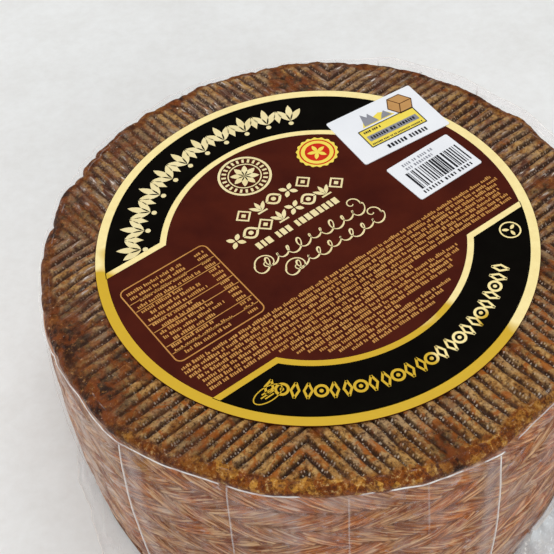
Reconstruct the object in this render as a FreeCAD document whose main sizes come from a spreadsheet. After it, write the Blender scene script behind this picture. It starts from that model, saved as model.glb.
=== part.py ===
"""A cured sheep's-milk cheese wheel in its clear vacuum bag, with a round
paper label and two small stickers on its top face.

Lengths are in millimetres and angles in degrees. +Z is up, the wheel's axis is
Z, and the origin is the middle of the underside, on the surface it stands on.
The front of the wheel faces -Y.
"""
import FreeCAD
import Part
import Sketcher
import math
import os

SIZES = [
    # the wheel
    ("wheel_height", 102.0, "from the underside to the crests of the top ridges"),
    ("belly_radius", 101.8, "half the widest girth, at mid height"),
    ("barrel_drop", 2.8, "how much slimmer the wheel is at its two ends"),
    ("edge_height", 3.4, "height of the rounded edge of rim and foot"),
    ("edge_reach", 2.8, "how far the rounded edge runs in from the side"),
    ("crust_band", 4.5, "height of the plain crust at rim and foot, past the plaits"),
    ("rim_lump", 0.7, "unevenness of the girth, in and out"),
    # the herringbone that the press boards leave on both flat faces
    ("ridge_pitch", 3.95, "from one ridge to the next"),
    ("ridge_crest", 1.45, "flat width of a ridge's crest"),
    ("groove_depth", 1.3, "from crest to the bottom of a groove"),
    ("groove_margin", 1.1, "plain strip between groove ends and rounded edge"),
    ("board_turn", -8.0, "turn of the herringbone about the wheel's axis"),
    # the plaited girdle's print on the side
    ("plait_row", 9.3, "height of one row of the plait"),
    ("strand_pitch", 11.2, "from one strand to the next along a row"),
    ("strand_run", 11.0, "how far round a strand goes while it crosses its row"),
    ("strand_depth", 1.1, "from a strand's back to the hollow beside it"),
    # the paper on the top face
    ("label_radius", 78.0, "round label"),
    ("label_thickness", 0.4, "label with its glue"),
    ("label_shift_x", -1.2, "label's centre from the wheel's axis"),
    ("label_shift_y", 1.6, "label's centre from the wheel's axis"),
    ("sticker_thickness", 0.3, "each sticker with its glue"),
    ("sticker_corner", 0.8, "corner radius of both stickers"),
    ("seal_width", 38.8, "control seal, long side"),
    ("seal_depth", 27.0, "control seal, short side"),
    ("seal_inset", 14.4, "seal's centre from the label's edge"),
    ("seal_bearing", 58.8, "direction of the seal's centre from the label's"),
    ("seal_turn", 27.5, "slope of the seal's long side"),
    ("tag_width", 29.6, "bar code sticker, long side"),
    ("tag_depth", 19.7, "bar code sticker, short side"),
    ("tag_inset", 22.7, "bar code sticker's centre from the label's edge"),
    ("tag_bearing", 32.2, "direction of the bar code sticker's centre"),
    ("tag_turn", 32.9, "slope of the bar code sticker's long side"),
    # the bag's film where it stands clear of the rind
    ("film_thickness", 0.6, "loose film with the air fold in it"),
    ("film_gap", 0.2, "from the highest strands to the film"),
    ("film_column", 12.8, "spacing of the film's creases round the wheel"),
    ("rim_stand", 0.9, "how far the film bridges off the rim"),
    ("rim_drop", 8.5, "from the top down to where the bridging film clings again"),
    ("corner_stand", 1.3, "how much further it bridges at the top of a pleat"),
    ("corner_spread", 15.0, "how far to each side of a pleat that goes"),
    ("pleat_stand", 2.0, "how far a pleat's fold stands off the side"),
    ("pleat_width", 4.2, "width of a pleat's tent on the side"),
    ("skirt_rise", 11.0, "height at which the skirt leaves the side"),
    ("skirt_reach", 6.4, "skirt's width on the table, away from its ears"),
    ("left_ear", 8.0, "extra width of the flattened fold on the left"),
    ("left_ear_bearing", -139.0, "direction of the left fold"),
    ("left_ear_spread", 18.0, "how far round the left fold goes"),
    ("right_ear", 15.0, "extra width of the crumpled end on the right"),
    ("right_ear_bearing", -24.0, "direction of the right end"),
    ("right_ear_spread", 34.0, "how far round the right end goes"),
    ("skirt_ripple", 1.1, "unevenness of the skirt's edge"),
    ("skirt_lift", 0.5, "how high the skirt's edge waves off the table elsewhere"),
    ("crumple_height", 6.0, "how much higher the crumpled end stands at its edge"),
]

# the girth's unevenness: share, waves round the wheel, and where they start
GIRTH_WAVES = [(0.5, 5, 1.1), (0.3, 11, 2.3), (0.2, 23, 0.4)]

# straight steps that make up each rounded edge
EDGE_STEPS = 2

# the film's upright pleats: bearing, how strongly each stands, and how far down it goes
PLEATS = [(-163.0, 0.9, 1.0), (-136.8, 1.0, 1.0), (-113.0, 0.6, 1.0), (-90.0, 0.5, 1.0),
          (-74.7, 0.4, 0.7), (-61.0, 1.0, 1.0), (-24.0, 0.9, 1.0), (3.0, 0.5, 0.6),
          (47.0, 0.8, 1.0), (71.0, 0.4, 0.8), (118.0, 0.7, 1.0), (151.0, 0.5, 0.7)]

# steps down a pleat, the share of its stand at either end, and how far its fold wanders
PLEAT_STEPS = 8
PLEAT_END = 0.4
PLEAT_SWAY = 0.35

# the skirt from the side out to its edge: share of its reach, and share of its rise
SKIRT_CURVE = [(0.0, 1.0), (0.12, 0.5), (0.35, 0.22), (0.68, 0.1), (1.0, 0.0)]

# waves round the skirt's lifted edge, and how much finer its outline's unevenness is
EDGE_WAVES = 9
OUTLINE_WAVES = 3

doc = FreeCAD.newDocument("manchego_wheel")
sheet = doc.addObject("Spreadsheet::Sheet", "Sizes")
for row, (alias, value, note) in enumerate(SIZES, start=1):
    sheet.set("A%d" % row, alias)
    sheet.set("B%d" % row, str(value))
    sheet.set("C%d" % row, note)
    sheet.setAlias("B%d" % row, alias)
doc.recompute()


def size(alias):
    """A driving size, as the sheet holds it."""
    return float(sheet.get(alias))


# ---------------------------------------------------------------- wheel form

def uneven(angle):
    """Smooth unevenness round the wheel, between about -1 and 1."""
    return sum(share * math.sin(waves * angle + start) for share, waves, start in GIRTH_WAVES)


def girth_radius(angle, level):
    """Radius of the wheel over its highest strands, at a height."""
    middle = size("wheel_height") / 2
    slimmer = size("barrel_drop") * ((level - middle) / middle) ** 2
    return size("belly_radius") - slimmer + size("rim_lump") * uneven(angle)


def ring(count, turn, radius_at, level):
    """Points round the Z axis; radius_at(number, angle) gives each radius."""
    points = []
    for number in range(count):
        angle = 2 * math.pi * number / count + turn
        radius = radius_at(number, angle)
        points.append(FreeCAD.Vector(radius * math.cos(angle), radius * math.sin(angle), level))
    return points


def triangle(first, second, third):
    return Part.Face(Part.makePolygon([first, second, third, first]))


def band(lower, upper):
    """Faces between two rings of equal count."""
    faces = []
    for number, here in enumerate(lower):
        after = (number + 1) % len(lower)
        faces.append(triangle(here, lower[after], upper[after]))
        faces.append(triangle(here, upper[after], upper[number]))
    return faces


def solid_of(faces):
    """One closed solid of faces that meet edge to edge."""
    shell = Part.makeShell(faces)
    shell.sewShape()
    solid = Part.makeSolid(shell)
    if solid.Volume < 0:
        solid.reverse()
    return solid


def edge_rings(count, turn, foot):
    """Rings of a rounded edge, from the flat face's rim to the crust band."""
    rings = []
    for step in range(EDGE_STEPS + 1):
        rounding = math.pi / 2 * step / EDGE_STEPS
        depth = size("edge_height") * (1 - math.cos(rounding))
        inward = size("edge_reach") * (1 - math.sin(rounding))
        level = depth if foot else size("wheel_height") - depth
        rings.append(ring(count, turn, lambda number, angle: girth_radius(angle, level) - inward, level))
    return rings


def barrel_with_plaits():
    """The wheel with its rounded edges and the rows of the plaited girdle."""
    girth = 2 * math.pi * size("belly_radius")
    strands = round(girth / size("strand_pitch"))
    count = 2 * strands
    plaited = size("wheel_height") - 2 * size("crust_band")
    rows = round(plaited / size("plait_row"))
    lean = size("strand_run") / size("belly_radius")

    def strand_radius(number, angle):
        hollow = size("strand_depth") if number % 2 else 0.0
        return girth_radius(angle, level) - hollow

    rings = edge_rings(count, 0.0, foot=True)
    for row in range(rows + 1):
        level = size("crust_band") + plaited * row / rows
        turn = lean if row % 2 else 0.0
        rings.append(ring(count, turn, strand_radius, level))
    rings += reversed(edge_rings(count, turn, foot=False))
    faces = []
    for lower, upper in zip(rings, rings[1:]):
        faces += band(lower, upper)
    faces.append(Part.Face(Part.makePolygon(rings[0] + [rings[0][0]])))
    faces.append(Part.Face(Part.makePolygon(rings[-1] + [rings[-1][0]])))
    return solid_of(faces)


def groove_half():
    """Half of a groove's width at its lips."""
    return (size("ridge_pitch") - size("ridge_crest")) / 2


def arm_length(offset):
    """How far a groove runs from its chevron's point to the end of the relief."""
    reach = size("belly_radius") - size("barrel_drop") - size("edge_reach")
    reach -= size("groove_margin") + size("rim_lump")
    return math.sqrt(reach ** 2 - (offset + groove_half()) ** 2) - offset


def chevron_groove(offset):
    """One V of two grooves that meet on the +X axis and open outward.

    offset is each arm's distance from the ridge that runs to the centre. The
    groove's lip is at z = 0, and the cutter stands a little above it.
    """
    half = groove_half()
    depth = size("groove_depth")
    apex = offset * math.sqrt(2)
    arm = arm_length(offset)
    section = [(-half, depth), (-half, 0.0), (0.0, -depth), (half, 0.0), (half, depth)]
    slope = math.sqrt(0.5)
    wires = []
    for side in (-1, 0, 1):
        points = []
        for across, level in section:
            if side == 0:
                place = FreeCAD.Vector(apex + across / slope, 0, level)
            else:
                along = slope * (arm + across)
                away = slope * (arm - across)
                place = FreeCAD.Vector(apex + along, side * away, level)
            points.append(place)
        wires.append(Part.makePolygon(points + [points[0]]))
    return Part.makeLoft(wires, True, True)


def herringbone():
    """Cutter for one flat face: four families of chevrons, a quarter turn apart."""
    pitch = size("ridge_pitch")
    cutters = []
    offset = pitch / 2
    while arm_length(offset) > pitch:
        for quarter in range(4):
            groove = chevron_groove(offset)
            groove.rotate(FreeCAD.Vector(), FreeCAD.Vector(0, 0, 1), size("board_turn") + 90 * quarter)
            cutters.append(groove)
        offset += pitch
    return Part.makeCompound(cutters)


def feature(name, shape):
    """A document object that holds a shape made from the sheet's sizes."""
    thing = doc.addObject("Part::Feature", name)
    thing.Shape = shape
    return thing


blank = feature("plaited_barrel", barrel_with_plaits())
board = herringbone()
upper_board = feature("upper_board", board)
upper_board.setExpression(".Placement.Base.z", "Sizes.wheel_height")
lower_board = feature("lower_board", board)
lower_board.Placement = FreeCAD.Placement(FreeCAD.Vector(), FreeCAD.Rotation(FreeCAD.Vector(1, 0, 0), 180))
boards = doc.addObject("Part::Compound", "press_boards")
boards.Links = [upper_board, lower_board]
cheese = doc.addObject("Part::Cut", "cheese")
cheese.Label = "cheese"
cheese.Base = blank
cheese.Tool = boards


# ------------------------------------------------------------- paper on top

label = doc.addObject("Part::Cylinder", "label")
label.Label = "label"
label.setExpression("Radius", "Sizes.label_radius")
label.setExpression("Height", "Sizes.label_thickness")
label.setExpression(".Placement.Base.x", "Sizes.label_shift_x")
label.setExpression(".Placement.Base.y", "Sizes.label_shift_y")
label.setExpression(".Placement.Base.z", "Sizes.wheel_height")


def xy_plane(body):
    for plane in body.Origin.OriginFeatures:
        if plane.Role == "XY_Plane":
            return plane
    raise RuntimeError("a body has no XY plane")


def sticker(name, key):
    """A rectangle of paper with rounded corners, stuck flat on the label."""
    body = doc.addObject("PartDesign::Body", name)
    body.Label = name
    outline = body.newObject("Sketcher::SketchObject", name + "_outline")
    outline.AttachmentSupport = [(xy_plane(body), "")]
    outline.MapMode = "FlatFace"
    wide = size(key + "_width") / 2
    deep = size(key + "_depth") / 2
    corners = [FreeCAD.Vector(-wide, -deep), FreeCAD.Vector(wide, -deep),
               FreeCAD.Vector(wide, deep), FreeCAD.Vector(-wide, deep)]
    for number, corner in enumerate(corners):
        outline.addGeometry(Part.LineSegment(corner, corners[(number + 1) % 4]))
    for number in range(4):
        outline.addConstraint(Sketcher.Constraint("Coincident", number, 2, (number + 1) % 4, 1))
    for number, direction in enumerate(("Horizontal", "Vertical", "Horizontal", "Vertical")):
        outline.addConstraint(Sketcher.Constraint(direction, number))
    outline.addConstraint(Sketcher.Constraint("Symmetric", 0, 1, 2, 1, -1, 1))
    across = outline.addConstraint(Sketcher.Constraint("DistanceX", 0, 1, 0, 2, 2 * wide))
    along = outline.addConstraint(Sketcher.Constraint("DistanceY", 1, 1, 1, 2, 2 * deep))
    outline.setExpression("Constraints[%d]" % across, "Sizes.%s_width" % key)
    outline.setExpression("Constraints[%d]" % along, "Sizes.%s_depth" % key)
    sheet_of_paper = body.newObject("PartDesign::Pad", name + "_paper")
    sheet_of_paper.Profile = outline
    sheet_of_paper.setExpression("Length", "Sizes.sticker_thickness")
    doc.recompute()
    upright = [number for number, edge in enumerate(sheet_of_paper.Shape.Edges, start=1)
               if abs(edge.tangentAt(edge.FirstParameter).z) > 0.9]
    rounding = body.newObject("PartDesign::Fillet", name + "_corners")
    rounding.Base = (sheet_of_paper, ["Edge%d" % number for number in upright])
    rounding.setExpression("Radius", "Sizes.sticker_corner")
    from_centre = "(Sizes.label_radius - Sizes.%s_inset)" % key
    bearing = "Sizes.%s_bearing" % key
    body.setExpression(".Placement.Base.x", "Sizes.label_shift_x + %s * cos(%s)" % (from_centre, bearing))
    body.setExpression(".Placement.Base.y", "Sizes.label_shift_y + %s * sin(%s)" % (from_centre, bearing))
    body.setExpression(".Placement.Base.z", "Sizes.wheel_height + Sizes.label_thickness")
    body.setExpression(".Placement.Rotation.Angle", "Sizes.%s_turn" % key)
    return body


control_seal = sticker("control_seal", "seal")
code_sticker = sticker("code_sticker", "tag")


# --------------------------------------------------------------- loose film

def film_columns():
    """How many straight pieces the film has round the wheel."""
    return round(2 * math.pi * size("belly_radius") / size("film_column"))


def film_radius(angle, level):
    """Where the film clings: clear of the highest strands, also halfway between two columns."""
    return (girth_radius(angle, level) + size("film_gap")) / math.cos(math.pi / film_columns())


def at(angle, radius, level):
    return FreeCAD.Vector(radius * math.cos(angle), radius * math.sin(angle), level)


def hoop(section_at):
    """A closed ring of film; section_at(angle) lists (radius, level) round one cut."""
    count = film_columns()
    sections = []
    for number in range(count):
        angle = 2 * math.pi * number / count
        sections.append([at(angle, radius, level) for radius, level in section_at(angle)])
    faces = []
    for number, here in enumerate(sections):
        faces += band(here, sections[(number + 1) % count])
    return solid_of(faces)


def away_from(angle, bearing):
    """Degrees between an angle in radians and a bearing in degrees, the short way round."""
    return abs((math.degrees(angle) - bearing + 180) % 360 - 180)


def near(angle, bearing, spread):
    """One at a bearing, falling smoothly to nothing beyond its spread."""
    return math.exp(-2 * (away_from(angle, bearing) / spread) ** 2)


def rim_section(angle):
    """Film bridging from the top face to the side, off the rounded rim.

    It is drawn out to a corner at the top of each pleat and runs straight between them.
    """
    stretch = 0.0
    for bearing, strength, share in PLEATS:
        nearness = 1 - away_from(angle, bearing) / size("corner_spread")
        stretch = max(stretch, strength * nearness)
    stand = size("rim_stand") + size("corner_stand") * stretch
    upper = size("wheel_height") - size("edge_height")
    lower = size("wheel_height") - size("rim_drop")
    corner = upper - size("rim_stand")
    return [(film_radius(angle, upper), upper),
            (film_radius(angle, corner) + stand, corner),
            (film_radius(angle, lower), lower)]


def skirt_section(angle):
    """Film that leaves the side above the foot and lies out on the table."""
    left = near(angle, size("left_ear_bearing"), size("left_ear_spread"))
    right = near(angle, size("right_ear_bearing"), size("right_ear_spread"))
    reach = size("skirt_reach") + size("left_ear") * left + size("right_ear") * right
    reach += size("skirt_ripple") * uneven(OUTLINE_WAVES * angle)
    wave = (1 + math.sin(EDGE_WAVES * angle)) / 2
    crumple = wave * (size("skirt_lift") + size("crumple_height") * right)
    rise = size("skirt_rise")
    thick = size("film_thickness")
    inner = film_radius(angle, rise)
    outer = []
    under = []
    for share, lift in SKIRT_CURVE:
        level = lift * rise + crumple * share ** 2 + thick
        outer.append((inner + reach * share + thick * (1 - share), level))
        under.append((inner + reach * share, level - thick))
    return outer + list(reversed(under))


def pleat(bearing, strength, share):
    """An upright fold of film: a low tent from the rim down a share of the side."""
    turn = math.radians(bearing)
    half = size("pleat_width") / 2 / size("belly_radius")
    stand = size("pleat_stand") * strength
    top = size("wheel_height") - size("edge_height") - size("rim_stand")
    foot = size("skirt_rise") + size("film_thickness")
    sections = []
    for step in range(PLEAT_STEPS + 1):
        level = top - (top - foot) * share * step / PLEAT_STEPS
        inside = min(1, step, PLEAT_STEPS - step)
        lift = stand * (PLEAT_END + (1 - PLEAT_END) * inside)
        sway = half * PLEAT_SWAY * math.sin(math.pi * level / top + bearing)
        sections.append([at(turn - half, film_radius(turn - half, level), level),
                         at(turn + sway, film_radius(turn, level) + lift, level),
                         at(turn + half, film_radius(turn + half, level), level),
                         at(turn, film_radius(turn, level), level)])
    faces = []
    for lower, upper in zip(sections, sections[1:]):
        faces += band(lower, upper)
    for end in (sections[0], sections[-1]):
        faces.append(triangle(end[0], end[1], end[3]))
        faces.append(triangle(end[1], end[2], end[3]))
    return solid_of(faces)


folds = [feature("rim_bridge", hoop(rim_section))]
for number, (bearing, strength, share) in enumerate(PLEATS, start=1):
    folds.append(feature("pleat_%d" % number, pleat(bearing, strength, share)))
film_wrap = doc.addObject("Part::MultiFuse", "film_wrap")
film_wrap.Label = "film_wrap"
film_wrap.Shapes = folds
film_skirt = feature("film_skirt", hoop(skirt_section))
film_skirt.Label = "film_skirt"


# ------------------------------------------------------------ check and write

doc.recompute()
for thing in doc.Objects:
    if "Invalid" in thing.State or "Error" in thing.State:
        raise RuntimeError("%s failed: %s" % (thing.Label, thing.State))

os.makedirs("parts", exist_ok=True)
for node in (cheese, label, control_seal, code_sticker, film_wrap, film_skirt):
    shape = node.Shape
    if shape.isNull() or not shape.isValid() or len(shape.Solids) != 1:
        raise RuntimeError("%s is not one valid solid" % node.Label)
    print("%-14s %10.1f mm3  %5d faces" % (node.Label, shape.Volume, len(shape.Faces)))
    shape.exportStep("parts/%s.step" % node.Label)
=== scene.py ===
import math
from cmath import rect

import bpy
import numpy as np
from mathutils import Matrix, Vector


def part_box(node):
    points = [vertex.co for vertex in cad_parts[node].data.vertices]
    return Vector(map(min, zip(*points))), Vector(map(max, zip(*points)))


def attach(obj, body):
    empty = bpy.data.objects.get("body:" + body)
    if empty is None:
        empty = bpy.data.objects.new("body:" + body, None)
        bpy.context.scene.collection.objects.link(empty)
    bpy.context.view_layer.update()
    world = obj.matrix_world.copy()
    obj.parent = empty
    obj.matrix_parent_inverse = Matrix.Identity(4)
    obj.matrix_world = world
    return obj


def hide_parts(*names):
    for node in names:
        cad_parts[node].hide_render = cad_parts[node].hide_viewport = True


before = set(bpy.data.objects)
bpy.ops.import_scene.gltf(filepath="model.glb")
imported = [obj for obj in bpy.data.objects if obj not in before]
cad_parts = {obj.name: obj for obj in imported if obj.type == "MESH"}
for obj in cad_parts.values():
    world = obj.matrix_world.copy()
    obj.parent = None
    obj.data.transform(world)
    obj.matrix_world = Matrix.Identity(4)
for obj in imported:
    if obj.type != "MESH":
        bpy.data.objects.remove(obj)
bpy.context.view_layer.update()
scene = bpy.context.scene

# Lengths are in millimetres until mesh_piece makes them metres. Bearings are in degrees
# round the wheel, from +X towards +Y. Shares run from 0 to 1.
MM = 0.001
TAU = 2 * math.pi
QUARTER_TURN = math.pi / 2


def node_box(node):
    """Lowest and highest corner of a CAD node in millimetres."""
    low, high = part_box(node)
    return np.array(low) / MM, np.array(high) / MM


LABEL_LOW, LABEL_HIGH = node_box("label")
HEIGHT = node_box("cheese")[1][2]
LABEL_CENTRE = (LABEL_LOW + LABEL_HIGH) / 2
LABEL_TOP = LABEL_HIGH[2]
LABEL_RADIUS = (LABEL_HIGH[0] - LABEL_LOW[0]) / 2

# The CAD wheel's form
BELLY = 101.8
BARREL_DROP = 2.8
RIM_LUMP = 0.7
GIRTH_WAVES = ((0.5, 5, 1.1), (0.3, 11, 2.3), (0.2, 23, 0.4))
EDGE_HEIGHT = 3.4
EDGE_REACH = 2.8
CRUST_BAND = 4.5
RIDGE_PITCH = 3.95
BOARD_TURN = math.radians(-8.0)
PLAIT_ROWS = 10

# The rind's finer relief, with the number of strands and of broader leaves in a row
GROOVE_DEPTH = 1.5
STRANDS = 180
LEAVES = 45
STRAND_LEAN = 2.1  # how far round a strand goes, in heights of its row
PLAIT_DEPTH = 1.9

# The film's air bubbles, in rows in the grooves
BEAD_PITCH = 1.0
BEADS_PER_RIDGE = 3.7


# --- noise

# The last argument of hashed, noise and layered is a seed.

def smooth(low, high, value):
    """0 below low and 1 above high, with soft ends."""
    share = np.clip((value - low) / (high - low), 0.0, 1.0)
    return share * share * (3 - 2 * share)


def window(first, last, blur, value):
    """1 between first and last, 0 outside them, softened by blur to each side."""
    return smooth(first - blur, first + blur, value) * (1 - smooth(last - blur, last + blur, value))


def hashed(cells, seed):
    """A repeatable random number from -1 to 1 for each cell of a lattice."""
    mixed = seed * 7919.0
    for axis, cell in enumerate(cells):
        mixed = mixed + cell * (127.1, 311.7, 74.7)[axis]
    value = np.sin(mixed) * 43758.5453
    return 2 * (value - np.floor(value)) - 1


def noise(points, scale, seed):
    """Smooth noise from -1 to 1 at points of two or three coordinates."""
    scaled = [axis / scale for axis in points]
    cells = [np.floor(axis) for axis in scaled]
    shares = [axis - cell for axis, cell in zip(scaled, cells)]
    shares = [share * share * (3 - 2 * share) for share in shares]
    total = 0.0
    for corner in range(2 ** len(points)):
        steps = [(corner >> axis) & 1 for axis in range(len(points))]
        weight = 1.0
        for share, step in zip(shares, steps):
            weight = weight * (share if step else 1 - share)
        total = total + weight * hashed([cell + step for cell, step in zip(cells, steps)], seed)
    return total


def layered(points, scale, seed, octaves=3):
    """Noise with finer and fainter layers on top."""
    return sum(noise(points, scale / 2 ** octave, seed + 17 * octave) / 1.7 ** octave
               for octave in range(octaves))


# --- places on the wheel

def uneven(angle):
    return sum(share * np.sin(waves * angle + start) for share, waves, start in GIRTH_WAVES)


def girth(angle, level):
    """The CAD wheel's radius over its highest strands."""
    middle = HEIGHT / 2
    return BELLY - BARREL_DROP * ((level - middle) / middle) ** 2 + RIM_LUMP * uneven(angle)


def near(angle, bearing, spread):
    """1 at a bearing, falling smoothly to 0 beyond its spread in degrees."""
    away = (angle - math.radians(bearing) + math.pi) % TAU - math.pi
    return np.exp(-2 * (away / math.radians(spread)) ** 2)


def by_bearing(angle, marks):
    """The strongest mark at each angle; a mark is (bearing, width, strength)."""
    return np.max([strength * near(angle, bearing, 1.6 * width)
                   for bearing, width, strength in marks], 0)


def bearings_of(columns):
    return np.arange(columns) * TAU / columns


def ring_of(angle):
    """Points on a ring about as wide as the wheel, where noise closes on itself."""
    return np.cos(angle) * 100, np.sin(angle) * 100


def rings_of(radius, angle, level):
    return np.stack([radius * np.cos(angle), radius * np.sin(angle), level], 2)


def stacked(rows, angle):
    """One array for each member of the rows' tuples, with a value for every column."""
    return [np.array([member + 0 * angle for member in members]) for members in zip(*rows)]


# --- meshes

def new_object(name, data):
    made = bpy.data.objects.new(name, data)
    scene.collection.objects.link(made)
    return made


def mesh_piece(name, points, faces, material, shade=True):
    """A mesh of points in millimetres, ready to ride."""
    mesh = bpy.data.meshes.new(name)
    mesh.from_pydata((np.asarray(points, float) * MM).tolist(), [], faces)
    mesh.validate()
    mesh.polygons.foreach_set("use_smooth", [shade] * len(mesh.polygons))
    mesh.materials.append(material)
    return new_object(name, mesh)


def shell(name, rings, material, closed=True):
    """A round piece of rings (rows, columns, 3), with a face at each end if closed."""
    rows, columns = rings.shape[:2]
    here = np.arange(columns)
    after = (here + 1) % columns
    quads = [np.stack([here, after, columns + after, columns + here], 1) + row * columns
             for row in range(rows - 1)]
    faces = np.concatenate(quads).tolist()
    if closed:
        faces += [here[::-1].tolist(), (here + (rows - 1) * columns).tolist()]
    return mesh_piece(name, rings.reshape(-1, 3), faces, material)


def paint(piece, **layers):
    """Gives each point of a piece numbers that its material reads by name."""
    for name, values in layers.items():
        attribute = piece.data.attributes.new(name, "FLOAT", "POINT")
        attribute.data.foreach_set("value", np.asarray(values, np.float32).ravel())


# --- materials

def linear(colour):
    """An opaque shader colour from 0-255 screen values."""
    return (*(share / 12.92 if share <= 0.04045 else ((share + 0.055) / 1.055) ** 2.4
              for share in np.array(colour) / 255), 1.0)


class Look:
    """A node material. Colours are 0-255 screen values, and sizes are in millimetres."""

    def __init__(self, name):
        self.material = bpy.data.materials.new(name)
        self.material.use_nodes = True
        self.tree = self.material.node_tree
        self.tree.nodes.clear()
        self.places = {}

    def feed(self, socket, value):
        if isinstance(value, bpy.types.NodeSocket):
            self.tree.links.new(value, socket)
        else:
            socket.default_value = linear(value) if socket.type == "RGBA" else value

    def node(self, kind, inputs=None, **settings):
        made = self.tree.nodes.new("ShaderNode" + kind)
        for key, value in settings.items():
            setattr(made, key, value)
        for key, value in (inputs or {}).items():
            self.feed(made.inputs[key], value)
        return made

    def read(self, name):
        """A number that paint has put on the piece."""
        return self.node("Attribute", attribute_name=name).outputs["Fac"]

    def where(self):
        return self.node("TexCoord").outputs["Object"]

    def vector(self, **axes):
        return self.node("CombineXYZ", axes).outputs[0]

    def place(self, stretch=(1, 1, 1)):
        """Object coordinates, multiplied by a number for each axis."""
        if stretch not in self.places:
            mapping = self.node("Mapping", {"Vector": self.where(), "Scale": stretch})
            self.places[stretch] = mapping.outputs[0]
        return self.places[stretch]

    def noise(self, place, scale, detail, rough, warp):
        return self.node("TexNoise", {
            "Vector": place, "Scale": scale, "Detail": detail, "Roughness": rough,
            "Distortion": warp}).outputs["Fac"]

    def spots(self, size, detail=3.0, rough=0.55, warp=0.0, stretch=(1, 1, 1)):
        """Noise between about 0 and 1, in blotches of a size."""
        return self.noise(self.place(stretch), 1 / (size * MM), detail, rough, warp)

    def cells(self, place, scale, uneven_by):
        """Voronoi cells; their distance is 0 at the middle of each."""
        return self.node("TexVoronoi", {
            "Vector": place, "Scale": scale, "Randomness": uneven_by}, feature="F1")

    def ramp(self, value, low, high, to_low=0.0, to_high=1.0):
        """Maps low to high of a value to another range, held at its ends."""
        return self.node("MapRange", {
            "Value": value, "From Min": low, "From Max": high,
            "To Min": to_low, "To Max": to_high}).outputs[0]

    def maths(self, operation, first, *others):
        """Joins values with one operation, from the first on."""
        for other in others:
            first = self.node("Math", {0: first, 1: other}, operation=operation).outputs[0]
        return first

    def times(self, *values):
        return self.maths("MULTIPLY", *values)

    def plus(self, *values):
        return self.maths("ADD", *values)

    def mix(self, share, first, second):
        # the colours' sockets of a mix node are 6 and 7, and their mix comes out of 2
        return self.node("Mix", {0: share, 6: first, 7: second}, data_type="RGBA").outputs[2]

    def tinted(self, colour, *tints):
        """Lays on tints (value, low, high, strength, tint), each where its value is high."""
        for value, low, high, strength, tint in tints:
            colour = self.mix(self.ramp(value, low, high, 0.0, strength), colour, tint)
        return colour

    def bump(self, *layers):
        """Fine relief of layers, each as (value, depth, strength)."""
        inputs = {}
        for value, depth, strength in layers:
            inputs.update({"Height": value, "Distance": depth * MM, "Strength": strength})
            inputs["Normal"] = self.node("Bump", inputs).outputs[0]
        return inputs["Normal"]

    def finish(self, inputs):
        shader = self.node("BsdfPrincipled", inputs)
        self.node("OutputMaterial", {"Surface": shader.outputs[0]})
        return self.material

    def finish_rind(self, colour, normal, rough, gloss):
        return self.finish({
            "Base Color": colour, "Roughness": rough, "Normal": normal, "Coat Weight": gloss,
            "Coat Roughness": 0.14, "Coat Normal": normal, "Specular IOR Level": 0.1})


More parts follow.
